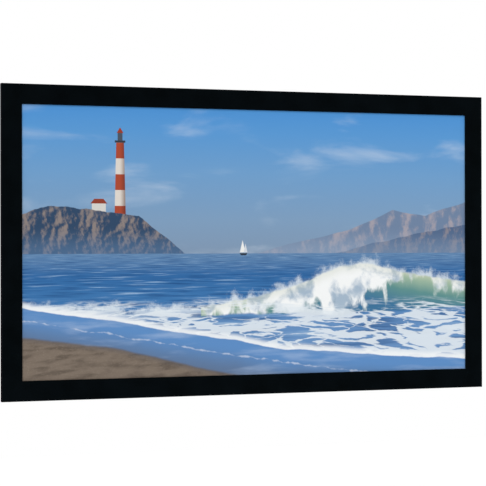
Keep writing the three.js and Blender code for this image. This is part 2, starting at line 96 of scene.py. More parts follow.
def put(tree, kind, sockets=(), out=0, stops=(), **settings):
    """Adds one node, sets and links its sockets, and gives back one of its outputs."""
    made = tree.nodes.new("ShaderNode" + kind)
    for name, value in settings.items():
        setattr(made, name, value)
    named = sockets.items() if isinstance(sockets, dict) else enumerate(sockets)
    for name, value in named:
        if isinstance(value, bpy.types.NodeSocket):
            tree.links.new(value, made.inputs[name])
        elif value is not None:
            made.inputs[name].default_value = value
    for index, (place, colour) in enumerate(stops):  # a ramp's stops, in colours or in greys
        elements = made.color_ramp.elements
        element = elements[index] if index < 2 else elements.new(1.0)
        element.position = place
        element.color = linear(colour) if isinstance(colour, str) else [colour] * 3 + [1.0]
    return made.outputs[out]


def new_material(name, **shader):
    """A material whose Principled shader has the given sockets, and its node tree."""
    material = bpy.data.materials.new(name)
    material.use_nodes = True
    tree = material.node_tree
    principled = tree.nodes["Principled BSDF"]
    for socket, value in shader.items():
        principled.inputs[socket.replace("_", " ")].default_value = value
    print("material:", name)
    return material, tree


def wire(tree, **links):
    """Links sockets to the Principled shader's inputs of those names."""
    principled = tree.nodes["Principled BSDF"]
    for socket, value in links.items():
        tree.links.new(value, principled.inputs[socket.replace("_", " ")])


print("mid grey in linear light:", [round(share, 3) for share in linear("808080")[:3]])

# %% [markdown]
# ## Helpers for shapes
#
# Every new piece is modelled in edit mode, as by hand. Faces and edges are chosen in code by where
# they are, because there is no mouse. Each length of the border is modelled as the top one and
# then turned into its place, as a joiner cuts four lengths from one bar.

# %% Choose and finish
bpy.ops.object.select_all(action="DESELECT")


def choose(piece, kind, test):
    """In edit mode, selects the vertices, edges or faces that pass a test of their middle."""
    bpy.ops.object.mode_set(mode="EDIT")
    bpy.ops.mesh.select_mode(type=kind)
    bpy.ops.mesh.select_all(action="DESELECT")
    bpy.ops.object.mode_set(mode="OBJECT")
    mesh = piece.data
    if kind == "FACE":
        for face in mesh.polygons:
            face.select = bool(test(face.center, face.normal))
    elif kind == "EDGE":
        for edge in mesh.edges:
            start, end = (mesh.vertices[i].co for i in edge.vertices)
            edge.select = bool(test((start + end) / 2, (end - start).normalized()))
    else:
        for vertex in mesh.vertices:
            vertex.select = bool(test(vertex.co, vertex.normal))
    bpy.ops.object.mode_set(mode="EDIT")


def done(piece):
    """Back to object mode, with place, turn and size applied to the mesh."""
    bpy.ops.object.mode_set(mode="OBJECT")
    bpy.ops.object.transform_apply(location=True, rotation=True, scale=True)
    return piece


# %% Strips and modifiers
def upright_plane(length, width, place):
    """A plane that faces the front. Every piece that is a strip or a plate starts as one."""
    bpy.ops.mesh.primitive_plane_add(size=1, location=place, rotation=(math.pi / 2, 0, 0))
    piece = bpy.context.object
    piece.scale = (length, width, 1)
    return done(piece)


def extrude(y=0, z=0):
    """In edit mode, extrudes what is selected by a step back and a step up."""
    bpy.ops.mesh.extrude_region_move(TRANSFORM_OT_translate={"value": (0, y, z)})


def is_lengthwise(along):
    """Whether an edge runs along X, as the long edges of a strip do."""
    return abs(along.x) > 0.9


def modify(piece, kind, **settings):
    """Adds a modifier and applies it."""
    modifier = piece.modifiers.new(kind.lower(), kind)
    for name, value in settings.items():
        setattr(modifier, name, value)
    bpy.context.view_layer.objects.active = piece
    bpy.ops.object.modifier_apply(modifier=modifier.name)


# %% Hand over
SMOOTH_BELOW = math.radians(30)  # a sharper edge between two faces stays sharp


def hand_over(piece, name, materials, slot, *nodes):
    """Names a finished piece, gives it its materials, and lets it ride in place of CAD nodes."""
    piece.name = name
    piece.data.name = name
    for material in materials:
        piece.data.materials.append(material)
    bpy.context.view_layer.objects.active = piece
    piece.select_set(True)
    bpy.ops.object.shade_smooth_by_angle(angle=SMOOTH_BELOW)
    piece.select_set(False)
    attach(piece, "root")
    if nodes:
        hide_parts(*nodes)
    return piece


# %% [markdown]
# The four sides differ only in their length and in how far they are turned. Their ends are cut
# with Bisect, which cuts along a plane, throws the outer part away and fills the cut. Its
# threshold is far below the cloth's thickness, or points near the plane would melt into it.

# %% The four sides
SIDES = {}  # the turn from the top into its place, the length, and how far out its outer edge is
for number, side in enumerate(("top", "right", "bottom", "left")):
    length, height = (FRAME_HEIGHT, FRAME_WIDTH) if number % 2 else (FRAME_WIDTH, FRAME_HEIGHT)
    SIDES[side] = (Matrix.Rotation(number * math.pi / 2, 4, "Y"), length, height / 2)


def face_outwards():
    """In edit mode, turns the faces of a piece outwards."""
    bpy.ops.mesh.select_all(action="SELECT")
    bpy.ops.mesh.normals_make_consistent(inside=False)


def cut_mitres(length, out, setback):
    """In edit mode, cuts both ends of a side of that length at 45 degrees."""
    for end in (-1, 1):
        bpy.ops.mesh.select_all(action="SELECT")
        bpy.ops.mesh.bisect(
            plane_co=(end * (length / 2 - setback), 0, out),
            plane_no=(end, 0, -1),
            use_fill=True,
            clear_outer=True,
            threshold=0.001 * MM,
        )
    face_outwards()


def lay_uv(piece):
    """A UV map in metres: along the side, and across it round its folds."""
    uv = piece.data.uv_layers.new(name="run")
    for loop in piece.data.loops:
        x, y, z = piece.data.vertices[loop.vertex_index].co
        uv.data[loop.index].uv = (x, z + y)


def fit_to_side(piece, turn, length, out, setback=SETBACK):
    """Mitres a length that was made as the top one, lays its UV map and turns it into its place."""
    bpy.ops.object.mode_set(mode="EDIT")
    cut_mitres(length, out, setback)
    bpy.ops.object.mode_set(mode="OBJECT")
    lay_uv(piece)
    piece.data.transform(turn)


print("sides:", {side: round(length, 3) for side, (_, length, _) in SIDES.items()})

# %% [markdown]
# ## Camera
#
# The camera stands left of the screen and looks a little to the right at it, from its own height.
# Its place and lens were worked out from the corners of the border and of the picture, so that
# the far side comes out as much shorter than the near side as it should. It comes before the
# pieces, so that any later step can be looked at from there.

# %% Camera
camera = bpy.data.objects.new("camera", bpy.data.cameras.new("camera"))
bpy.context.collection.objects.link(camera)
camera.location = (-2.562, -7.065, -0.015)
camera.data.lens = 128.5
camera.data.sensor_width = 36

forward = Vector((0.3359, 0.9419, 0.0016)).normalized()
across = forward.cross(Vector((0.0012, -0.0021, 1.0))).normalized()
camera.rotation_euler = Matrix((across, across.cross(forward), -forward)).transposed().to_euler()
bpy.context.scene.camera = camera
print("camera", [round(v, 3) for v in camera.location], "lens", camera.data.lens)

# %% [markdown]
# ## Room
#
# A screen like this is shown hanging free against white. The floor lies well below it, and both
# floor and world are white only where the camera or a reflection sees them. What lights the
# object stays at a plain level, at which a colour renders about as it is written. Two wide soft
# lamps, one before and one behind, give the edges some shape.

# %% Floor, world and lamps
FLOOR_HEIGHT = -1.45
FLOOR_SIZE = 9


def seen_directly(tree):
    """1 for rays that show a surface to the eye, straight, in a reflection or through glass."""
    path = put(tree, "LightPath").node.outputs
    bounced = put(tree, "Math", [path["Is Glossy Ray"], path["Is Transmission Ray"]], operation="MAXIMUM")
    return put(tree, "Math", [path["Is Camera Ray"], bounced], operation="MAXIMUM")


def pale_floor():
    white = {"Base_Color": linear("efefee"), "Emission_Color": (1, 1, 1, 1)}
    material, tree = new_material("pale_floor", Roughness=0.9, Specular_IOR_Level=0.0, **white)
    wire(tree, Emission_Strength=put(tree, "Math", [seen_directly(tree), 0.1], operation="MULTIPLY"))
    return material


bpy.ops.mesh.primitive_plane_add(size=FLOOR_SIZE, location=(0, 0, FLOOR_HEIGHT))
floor = bpy.context.object
floor.name = "floor"
floor.data.materials.append(pale_floor())
floor.select_set(False)

world = bpy.data.worlds.new("white_room")
bpy.context.scene.world = world
world.use_nodes = True
room = world.node_tree
level = put(room, "MapRange", {"Value": seen_directly(room), "To Min": 0.62, "To Max": 1.0})
background = room.nodes["Background"]
background.inputs["Color"].default_value = (1, 1, 1, 1)
room.links.new(level, background.inputs["Strength"])

LAMPS = [("front lamp", 1.15, 50, -35), ("back lamp", 1.3, 48, 150)]  # strength, tilt and turn
for name, strength, tilt, turn in LAMPS:
    lamp = bpy.data.objects.new(name, bpy.data.lights.new(name, "SUN"))
    bpy.context.collection.objects.link(lamp)
    lamp.data.energy = strength
    lamp.data.angle = math.radians(30)
    lamp.rotation_euler = (math.radians(tilt), 0, math.radians(turn))

bpy.context.scene.view_settings.view_transform = "Standard"
print("floor at", FLOOR_HEIGHT, "m, lamps:", [name for name, *_ in LAMPS])

# %% [markdown]
# ## Velvet
#
# The border is polyester velvet with a short dense pile, glued over the rail. It swallows light:
# seen from the front it is the darkest thing in the room, with no gloss at all. Its colour is a
# cool near black, with painted sheen in it: a faint mottling where the pile leans, and lighter
# specks on the pile itself. The pile is finer than a pixel, so its grain is drawn 1.6 mm wide,
# brushed along each length.

# %% Velvet material
def velvet_material():
    material, tree = new_material(
        "polyester_velvet", Roughness=1.0, Specular_IOR_Level=0.03, Sheen_Weight=0.01, Sheen_Roughness=0.4
    )
    run = put(tree, "UVMap", uv_map="run")
    painted_lean_sheen = put(tree, "TexNoise", {"Vector": run, "Scale": 9.0, "Detail": 3.0})
    brushed = put(tree, "Mapping", {"Vector": run, "Scale": (0.5, 1, 1)})
    pile = put(tree, "TexNoise", {"Vector": brushed, "Scale": 1 / (1.6 * MM), "Detail": 2.0})
    both = put(tree, "Math", [painted_lean_sheen, 0.3, pile], operation="MULTIPLY_ADD")
    # painted sheen: the lean mottling and the pile's specks make the near black lighter and darker
    colour = put(tree, "ValToRGB", [both], stops=[(0.5, "000202"), (0.8, "080e12")])
    height = put(tree, "Bump", {"Height": pile, "Strength": 0.4, "Distance": 0.3 * MM})
    wire(tree, Base_Color=colour, Normal=height)
    return material


VELVET = velvet_material()

# %% [markdown]
# The wrap is one strip folded round the rail: down the outer side, over the face, round the thin
# lip and a little way up behind it. So it starts as a flat face, its edges are extruded to make
# the folds, the folds are bevelled round, and Solidify gives the cloth its thickness before the
# saw cuts the mitres.

# %% Velvet wraps
CLOTH = 0.8 * MM
OUTER_FOLD = 3.4 * MM
LIP_WRAP = 4.8 * MM  # round the lip, front to back
LIP_FOLD = 0.49 * LIP_WRAP  # nearly half, so that the lip comes out round
RETURN = 8.9 * MM
CLOTH_SETBACK = 0.02 * MM  # the cloth closes over the seam, so no light shows through


def velvet_wrap(name, turn, length, out):
    piece = upright_plane(length, BORDER, (0, FRONT, out - BORDER / 2))
    outer_edge, lip_edge = out - MM, out - BORDER + MM
    choose(piece, "EDGE", lambda middle, _: middle.z > outer_edge)
    extrude(y=RAIL_BACK - FRONT)
    choose(piece, "EDGE", lambda middle, _: middle.z < lip_edge)
    extrude(y=LIP_WRAP)
    extrude(z=RETURN)

    at_fold = lambda middle: middle.y < FRONT + MM and middle.z > outer_edge
    choose(piece, "EDGE", lambda middle, along: is_lengthwise(along) and at_fold(middle))
    bpy.ops.mesh.bevel(offset=OUTER_FOLD, segments=6)
    choose(piece, "EDGE", lambda middle, along: is_lengthwise(along) and middle.z < lip_edge)
    bpy.ops.mesh.bevel(offset=LIP_FOLD, segments=6)
    face_outwards()
    bpy.ops.object.mode_set(mode="OBJECT")
    if piece.data.polygons[0].normal.y > 0:  # a strip is open, so either side may count as outside
        piece.data.flip_normals()
    modify(piece, "SOLIDIFY", thickness=CLOTH, offset=-1, use_even_offset=True)
    fit_to_side(piece, turn, length, out, CLOTH_SETBACK)
    hand_over(piece, f"{name}_velvet_wrap", [VELVET], "black_velvet", f"{name}_velvet")
    print(name, "wrap:", len(piece.data.polygons), "faces")


for side, fit in SIDES.items():
    velvet_wrap(side, *fit)

# %% [markdown]
# ## Webbing hems
#
# Round the back of the sheet runs a hem of black polypropylene webbing, welded to the vinyl so
# that the snaps pull on the strong cloth and not on the sheet. Webbing is a flat weave with ribs
# across it, which two crossed waves give, and has a dull shine. The ribs are 1 mm apart and are
# drawn 2 mm apart, so that they show. Its black is darker where the weave dips, which is painted
# shade between the yarns, and a random fuzz varies its tone.

# %% Webbing material
WAVE_PERIOD = 0.314  # metres from band to band of a Wave texture whose scale is 1


def webbing_material():
    material, tree = new_material("polypropylene_webbing", Roughness=0.7, Specular_IOR_Level=0.3)
    run = put(tree, "UVMap", uv_map="run")
    rib = put(tree, "TexWave", {"Vector": run, "Scale": WAVE_PERIOD / (2.0 * MM)}, bands_direction="X")
    shifted = put(tree, "Mapping", {"Vector": run, "Location": (1.0 * MM, 0, 0)})
    crosswise = {"Vector": shifted, "Scale": WAVE_PERIOD / (2.5 * MM)}
    yarn = put(tree, "TexWave", crosswise, bands_direction="Y")
    weave = put(tree, "Math", [rib, yarn], operation="MULTIPLY")
    fuzz = put(tree, "TexNoise", {"Vector": run, "Scale": 1 / (1.5 * MM), "Detail": 2.0})
    fuzz_and_weave_shade = put(tree, "Math", [fuzz, 0.5, weave], operation="MULTIPLY_ADD")
    # painted shade: the colour darkens where the weave is low, between the yarns, with a random fuzz on top
    colour = put(tree, "ValToRGB", [fuzz_and_weave_shade], stops=[(0.2, "101214"), (1.0, "24272b")])
    height = put(tree, "Bump", {"Height": weave, "Strength": 0.6, "Distance": 0.4 * MM})
    wire(tree, Base_Color=colour, Normal=height)
    return material


WEBBING = webbing_material()

# %% [markdown]
# A hem is made as the velvet is, from a flat strip that is thickened and mitred. Its long edges
# are bevelled, because a woven edge is round.

# %% Webbing strips
HEM_DEPTH = 6.9 * MM
HEM_THICK = 1.5 * MM
WOVEN_EDGE = 0.5 * MM


def webbing_hem(name, turn, length, out):
    low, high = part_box("top_hem")
    width = high.z - low.z
    middle = out - (FRAME_HEIGHT - high.z - low.z) / 2
    piece = upright_plane(length, width, (0, FRONT + HEM_DEPTH, middle))
    modify(piece, "SOLIDIFY", thickness=HEM_THICK, offset=-1)
    choose(piece, "EDGE", lambda _, along: is_lengthwise(along))
    bpy.ops.mesh.bevel(offset=WOVEN_EDGE, segments=3)
    fit_to_side(piece, turn, length, out)
    hand_over(piece, f"{name}_webbing_hem", [WEBBING], "webbing", f"{name}_hem")
    print(name, "hem:", round(width / MM, 1), "mm wide")


for side, fit in SIDES.items():
    webbing_hem(side, *fit)

# %% [markdown]
# ## Press snaps
#
# Each press snap has a domed cap behind the webbing, riveted through it to a socket that clicks
# over a stud on the frame's lip. They are nickel-plated brass, pressed from thin sheet: a warm
# grey metal, bright where it is smooth and duller where hands have been.
#
# A plated or anodised metal shows patches or lines of one size, which differ a little in colour
# and in gloss, and can just be felt. One noise drives all three, and four metals are made so.

# %% Metals with a treated skin
def treated_metal(name, metallic, size, detail, colours, gloss, relief=0.0, stretch=(1, 1, 1)):
    """A metal with patches of a size, between two colours and between two roughnesses."""
    material, tree = new_material(name, Metallic=metallic)
    drawn = put(tree, "Mapping", {"Vector": put(tree, "TexCoord", out=3), "Scale": stretch})
    patches = put(tree, "TexNoise", {"Vector": drawn, "Scale": 1 / size, "Detail": detail})
    colour = put(tree, "ValToRGB", [patches], stops=colours)
    rough = put(tree, "MapRange", {"Value": patches, "To Min": gloss[0], "To Max": gloss[1]})
    wire(tree, Base_Color=colour, Roughness=rough)
    if relief:
        uneven = {"Height": patches, "Strength": relief, "Distance": 0.05 * MM}
        wire(tree, Normal=put(tree, "Bump", uneven))
    return material


warm_greys = [(0.35, "98948b"), (0.65, "b8b4ab")]
NICKEL = treated_metal("nickel_plated_brass", 1.0, 6 * MM, 3.0, warm_greys, (0.2, 0.4))

# %% [markdown]
# One snap is modelled, as a cap and a socket. The cap is a disc whose face is inset and lifted,
# ring by ring, into a low dome. The socket's face is inset and pushed in, which leaves room for
# the stud.

# %% Snap cap and socket
CAP_RADIUS = 6.2 * MM
CAP_RIM = 0.9 * MM
CAP_RINGS = ((0.7, 0.55), (1.3, 0.45), (1.7, 0.25), (1.2, 0.05))  # inwards and up, in mm
CAP_EDGE = 0.25 * MM
SOCKET_RADIUS = 5.2 * MM
SOCKET_DEPTH = 4.7 * MM
SOCKET_WALL = 2.2 * MM
SOCKET_EDGE = 0.5 * MM
STUD_ROOM = 1.8 * MM


def turned_disc(radius, low, high, sides=32):
    """A disc on the Y axis between two depths, left in edit mode with its far face selected."""
    bpy.ops.mesh.primitive_cylinder_add(
        vertices=sides,
        radius=radius,
        depth=high - low,
        location=(0, (low + high) / 2, 0),
        rotation=(-math.pi / 2, 0, 0),
    )
    piece = done(bpy.context.object)
    choose(piece, "FACE", lambda _, normal: normal.y > 0.9)
    return piece


def raise_dome(rings):
    """In edit mode, insets the selected face and lifts it once for each ring of a dome."""
    for inward, rise in rings:
        bpy.ops.mesh.inset(thickness=inward * MM, depth=0)
        bpy.ops.transform.translate(value=(0, rise * MM, 0))


def soften(piece, end, radius, segments):
    """Bevels the edges at the front end of a disc."""
    choose(piece, "EDGE", lambda middle, _: middle.y < end + 0.01 * MM)
    bpy.ops.mesh.bevel(offset=radius, segments=segments)
    done(piece)


def snap_pattern():
    hem_back = FRONT + HEM_DEPTH + HEM_THICK
    cap = turned_disc(CAP_RADIUS, hem_back, hem_back + CAP_RIM)
    raise_dome(CAP_RINGS)
    done(cap)
    soften(cap, hem_back, CAP_EDGE, 2)

    mouth = FRONT + SOCKET_DEPTH
    socket = turned_disc(SOCKET_RADIUS, mouth, FRONT + HEM_DEPTH)
    choose(socket, "FACE", lambda _, normal: normal.y < -0.9)
    bpy.ops.mesh.inset(thickness=SOCKET_WALL, depth=0)
    extrude(y=STUD_ROOM)
    done(socket)
    soften(socket, mouth, SOCKET_EDGE, 3)
    cap.select_set(True)
    socket.select_set(True)
    bpy.context.view_layer.objects.active = cap
    bpy.ops.object.join()
    return cap


# %% [markdown]
# The snap is then copied along all four sides. Each row begins and ends a little way from where
# two rows would meet, and the studs between are evenly spaced, as near to 220 mm as will fit.

# %% Rows of snaps
SNAP_INSET = 66.1 * MM  # from the frame's outer edge to the row
SNAP_MARGIN = 45 * MM  # from where two rows would meet to the first snap
SNAP_PITCH = 220 * MM


def placed_copies(pattern, placings):
    """Copies a pattern to each placing, each copy with its own mesh, and joins the copies."""
    bpy.ops.object.select_all(action="DESELECT")
    for placing in placings:
        copy = pattern.copy()
        copy.data = pattern.data.copy()
        copy.data.transform(placing)
        bpy.context.collection.objects.link(copy)
        copy.select_set(True)
    copies = bpy.context.selected_objects
    bpy.context.view_layer.objects.active = copies[0]
    if len(copies) > 1:
        bpy.ops.object.join()
    bpy.ops.object.select_all(action="DESELECT")
    return copies[0]


snap = snap_pattern()
for side, (turn, length, out) in SIDES.items():
    span = length - 2 * (SNAP_INSET + SNAP_MARGIN)
    gaps = round(span / SNAP_PITCH)
    stations = [span * (i / gaps - 0.5) for i in range(gaps + 1)]
    placings = [turn @ Matrix.Translation((x, 0, out - SNAP_INSET)) for x in stations]
    row = placed_copies(snap, placings)
    hand_over(row, f"{side}_snaps", [NICKEL], "zinc_steel", f"{side}_hem")
    print(side, "snaps:", len(placings), "at", round(span / gaps / MM, 1), "mm")
bpy.data.objects.remove(snap)

# %% [markdown]
# ## The picture on the sheet
#
# A projector throws light on a matt white sheet, and the sheet takes the picture's colours. So
# the picture is the base colour of the vinyl, and it needs no light of its own. It is a plain
# seascape, painted from back to front as a poster is: sky, far ridges, tower, headland, sea,
# breaker, beach. Each field is everything below an edge, and the edge is a height across the
# picture. Noise then breaks up the edges and the fills.

# %% Painting a field
sheet_low, sheet_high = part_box("projection_sheet")
SHEET_SIZE = sheet_high - sheet_low
HORIZON = 0.46  # heights and places across are shares of the sheet
print("sheet:", [round(v / MM, 1) for v in SHEET_SIZE], "mm, horizon", HORIZON, "of the way up")


def paint(tree, picture, colour, value, none_at, full_at, strength=1.0):
    """Paints a colour over the picture, by how far a value has gone from one level to another."""
    reach = {"Value": value, "From Min": none_at, "From Max": full_at, "To Max": strength}
    amount = put(tree, "MapRange", reach, interpolation_type="SMOOTHSTEP")
    return put(tree, "Mix", {0: amount, 6: picture, 7: colour}, out=2, data_type="RGBA")


def below_edge(tree, view, points, ruggedness, pitch, seed):
    """How far below an edge each place is. The edge runs through points, with bumps of a pitch."""
    line = put(tree, "ValToRGB", [view["across"]], stops=points)
    along = put(tree, "Mapping", {"Vector": view["place"], "Scale": (1, 0, 0), "Location": (seed, seed, 0)})
    bumps = put(tree, "TexNoise", {"Vector": along, "Scale": 1 / pitch, "Detail": 5.0})
    level = put(tree, "Math", [bumps, 0.5], operation="SUBTRACT")
    edge = put(tree, "Math", [level, ruggedness, line], operation="MULTIPLY_ADD")
    return put(tree, "Math", [edge, view["up"]], operation="SUBTRACT")


# %% [markdown]
# The sky is a ramp from haze to clear blue with a few wisps. The ridges and the headland need
# gullies, and these show because the sun lights one flank and not the other. That is the
# difference between two copies of the same noise, one moved a little towards the sun.

# %% Sky and land
def paint_sky(tree, view):
    stops = [(HORIZON, "8299b4"), (0.58, "80a0c1"), (0.75, "71a1cf"), (0.9, "5b9bd7"), (1.0, "4c94d8")]
    picture = put(tree, "ValToRGB", [view["up"]], stops=stops)
    drift = {"Vector": view["place"], "Scale": (1.1, 1, 4.5), "Rotation": (0, 0.12, 0)}
    wisps = put(tree, "Mapping", drift)
    cloud = put(tree, "TexNoise", {"Vector": wisps, "Scale": 1.6, "Detail": 7.0, "Distortion": 0.4})
    return paint(tree, picture, linear("dfe9f3"), cloud, 0.53, 0.8, 0.5)


def sunlit(tree, view, pitch, seed):
    """How much a slope faces a sun that stands high on the left: more than 0.5 is lit."""
    heights = []
    for shift in (0.0, 0.1):
        moved = {"Vector": view["place"], "Scale": (1, 1, 0.6), "Rotation": (0, 0.35, 0)}
        spot = put(tree, "Mapping", moved | {"Location": (seed + shift * pitch, 0, -shift * pitch)})
        ground = {"Vector": spot, "Scale": 1 / pitch, "Detail": 7.0, "Roughness": 0.62}
        heights.append(put(tree, "TexNoise", ground))
    rise = put(tree, "Math", [heights[1], heights[0]], operation="SUBTRACT")
    return put(tree, "Math", [rise, 5.0, 0.5], operation="MULTIPLY_ADD")


def paint_land(tree, view, picture, points, shade, light, haze, ruggedness, pitch, seed):
    """A ridge with gullies, which fades into the haze towards its foot."""
    depth = below_edge(tree, view, points, ruggedness, pitch, seed)
    flanks = sunlit(tree, view, pitch, seed)
    ground = paint(tree, linear(shade), linear(light), flanks, 0.3, 0.95)
    ground = paint(tree, ground, linear(haze), view["up"], 0.56, HORIZON, 0.55)
    return paint(tree, picture, ground, depth, 0.0, 0.003)


# Each has its edge, then the colours of shade, light and haze, then the edge's ruggedness, the
# pitch of the gullies and a seed.
edge = [(0.46, 0.44), (0.6, 0.5), (0.72, 0.55), (0.82, 0.62), (0.9, 0.6), (1.0, 0.66)]
FAR_RIDGE = (edge, "7085a3", "a5a0ab", "90a5c0", 0.025, 0.16, 1.0)
edge = [(0.64, 0.44), (0.76, 0.49), (0.88, 0.535), (1.0, 0.57)]
NEAR_RIDGE = (edge, "506789", "8a858f", "7f97b5", 0.025, 0.1, 2.0)
edge = [(0.0, 0.6), (0.06, 0.635), (0.14, 0.62), (0.25, 0.6), (0.31, 0.52), (0.35, 0.46), (0.4, 0.4)]
HEADLAND = (edge, "2f4866", "8d827f", "5a7ca3", 0.028, 0.09, 4.0)


# %% [markdown]
# The tower is the one upright thing in the picture. Its parts, and the cottage and the little
# boat beside it, are all the same shape: a bar with a lower and an upper width. The tower's red
# and white bands come from its height, counted off in fives.

# %% Tower, cottage and boat
def paint_bar(tree, view, picture, colour, centre, low, high, width_low, width_high):
    """An upright bar that tapers from one half width to another, as shares of the picture."""
    aside = put(tree, "Math", [view["across"], centre], operation="SUBTRACT")
    reach = put(tree, "Math", [aside], operation="ABSOLUTE")
    taper = {"Value": view["up"], "From Min": low, "From Max": high}
    width = put(tree, "MapRange", taper | {"To Min": width_low, "To Max": width_high})
    inside = put(tree, "Math", [width, reach], operation="SUBTRACT")
    over_low = put(tree, "Math", [view["up"], low], operation="GREATER_THAN")
    under_high = put(tree, "Math", [view["up"], high], operation="LESS_THAN")
    within = put(tree, "Math", [over_low, under_high], operation="MULTIPLY")
    kept = put(tree, "Math", [inside, within], operation="MULTIPLY")
    return paint(tree, picture, colour, kept, 0.0, 0.0006)


def paint_tower(tree, view, picture):
    centre, base, gallery = 0.21, 0.575, 0.86
    fives = {"Value": view["up"], "From Min": base, "From Max": gallery, "To Max": 5.0}
    band = put(tree, "Math", [put(tree, "MapRange", fives), 2.0], operation="MODULO")
    bands = paint(tree, linear("ae4a31"), linear("e2dad1"), band, 0.98, 1.02)
    walls = paint(tree, bands, linear("5f2f27"), view["across"], centre - 0.002, centre + 0.012, 0.7)
    bars = [
        (walls, centre, base, gallery, 0.0125, 0.0085),
        (linear("343a45"), centre, gallery, gallery + 0.008, 0.0115, 0.0115),
        (linear("4b5563"), centre, gallery + 0.008, gallery + 0.035, 0.0055, 0.0055),
        (linear("9c3d29"), centre, gallery + 0.035, gallery + 0.056, 0.0075, 0.0),
        (linear("d9d6d0"), 0.165, 0.6, 0.64, 0.015, 0.015),
        (linear("93402f"), 0.165, 0.64, 0.657, 0.018, 0.01),
    ]
    for bar in bars:
        picture = paint_bar(tree, view, picture, *bar)
    return picture


def paint_boat(tree, view, picture):
    picture = paint_bar(tree, view, picture, linear("2c3644"), 0.478, 0.452, 0.46, 0.006, 0.009)
    picture = paint_bar(tree, view, picture, linear("f1f1ee"), 0.476, 0.463, 0.51, 0.0065, 0.0)
    return paint_bar(tree, view, picture, linear("d5dbe2"), 0.4825, 0.463, 0.498, 0.0045, 0.0)


# %% [markdown]
# Water is a pattern seen at a slant. A plan of it, as from above, has the distance as one over
# the gap to the horizon, so that any noise on that plan shrinks as it goes away.

# %% Sea
VANISHING = HORIZON + 0.06  # a little above the horizon, so that far waves stay wide enough to draw


def water_plan(tree, across, up):
    """Places on the water as seen from above, so that a pattern on them shrinks with distance."""
    gap = put(tree, "Math", [VANISHING, up], operation="SUBTRACT")
    near = put(tree, "Math", [gap, 0.05], operation="MAXIMUM")
    away = put(tree, "Math", [1.0, near], operation="DIVIDE")
    aside = put(tree, "Math", [across, 0.5], operation="SUBTRACT")
    sideways = put(tree, "Math", [aside, away], operation="MULTIPLY")
    return put(tree, "CombineXYZ", [sideways, away])


def paint_sea(tree, view, picture):
    stops = [(0.0, "6f95c4"), (0.2, "6590c2"), (0.28, "3f79b2"), (0.38, "316aa5"), (HORIZON, "668cb4")]
    water = put(tree, "ValToRGB", [view["up"]], stops=stops)
    swell = put(tree, "Mapping", {"Vector": view["plan"], "Scale": (0.35, 1, 1)})
    waves = put(tree, "TexNoise", {"Vector": swell, "Scale": 5.0, "Detail": 5.0})
    water = paint(tree, water, linear("1c4a80"), waves, 0.52, 0.3, 0.7)
    water = paint(tree, water, linear("a9c6e2"), waves, 0.55, 0.75, 0.75)
    edge = put(tree, "Math", [HORIZON, view["up"]], operation="SUBTRACT")
    return paint(tree, picture, water, edge, 0.0, 0.002)


# %% [markdown]
# The breaker has three parts. Its face is thin near the crest, so the sun shines through it
# green. White water tumbles over the crest, thick in some places and thin in others. Spray hangs
# above.

# %% Breaker
CREST = [(0.36, 0.26), (0.5, 0.3), (0.6, 0.345), (0.7, 0.415), (0.76, 0.425), (0.86, 0.385), (1.0, 0.35)]
WAVE_FOOT = [(0.3, 0.215), (0.5, 0.235), (0.7, 0.225), (1.0, 0.25)]
FOAM_THICKNESS = [(0.36, 0.02), (0.48, 0.07), (0.6, 0.12), (0.7, 0.2), (0.78, 0.1), (0.86, 0.0), (1.0, 0.03)]


def paint_breaker(tree, view, picture):
    under_crest = below_edge(tree, view, CREST, 0.02, 0.06, 3.0)
    under_foot = below_edge(tree, view, WAVE_FOOT, 0.04, 0.16, 5.0)
    lumps = put(tree, "TexNoise", {"Vector": view["place"], "Scale": 17.0, "Detail": 8.0, "Roughness": 0.66})

    rising = put(tree, "Math", [lumps, 0.16, under_crest], operation="MULTIPLY_ADD")
    hanging = put(tree, "Math", [0.1, under_crest], operation="SUBTRACT")
    spray = put(tree, "Math", [rising, hanging], operation="MINIMUM")
    picture = paint(tree, picture, linear("dfe9f1"), spray, 0.055, 0.1, 0.85)

    stops = [(0.0, "c2cdb2"), (0.025, "9db8a2"), (0.07, "5f918f"), (0.14, "3c739b")]
    face = put(tree, "ValToRGB", [under_crest], stops=stops)
    falling = {"Vector": view["place"], "Scale": (1, 1, 0.5), "Rotation": (0, -0.6, 0)}
    streaks = put(tree, "Mapping", falling)
    torn = put(tree, "TexNoise", {"Vector": streaks, "Scale": 17.0, "Detail": 8.0, "Distortion": 0.3})
    face = paint(tree, face, linear("dbe6e0"), torn, 0.53, 0.68, 0.7)
    thick = put(tree, "ValToRGB", [view["across"]], stops=FOAM_THICKNESS)
    ragged = put(tree, "Math", [torn, 0.3, thick], operation="MULTIPLY_ADD")
    reach = put(tree, "Math", [ragged, under_crest], operation="SUBTRACT")
    rolling = {"Vector": view["place"], "Scale": 11.0, "Detail": 8.0, "Distortion": 0.3}
    billows = put(tree, "TexNoise", rolling)
    foam = paint(tree, linear("a6bacd"), linear("f9fbfb"), billows, 0.36, 0.54)
    foam = paint(tree, foam, linear("c3c9b4"), under_crest, 0.05, 0.0, 0.35)
    wave = paint(tree, face, foam, reach, 0.125, 0.18)

    over_foot = put(tree, "Math", [under_foot, -1.0], operation="MULTIPLY")
    inside = put(tree, "Math", [under_crest, over_foot], operation="MINIMUM")
    begins = {"Value": view["across"], "From Min": 0.36, "From Max": 0.5, "To Min": -0.2}
    held = put(tree, "Math", [inside, put(tree, "MapRange", begins)], operation="MINIMUM")
    return paint(tree, picture, wave, held, 0.0, 0.01)


# %% [markdown]
# In front of the wave, old foam lies on the water as lace: thin white walls round holes, which a
# Voronoi pattern gives, warped so that no wall is straight. A white rim marks how far the water
# has run up. The sand it has just left is wet and takes the sky's colour, and only the corner is
# dry.

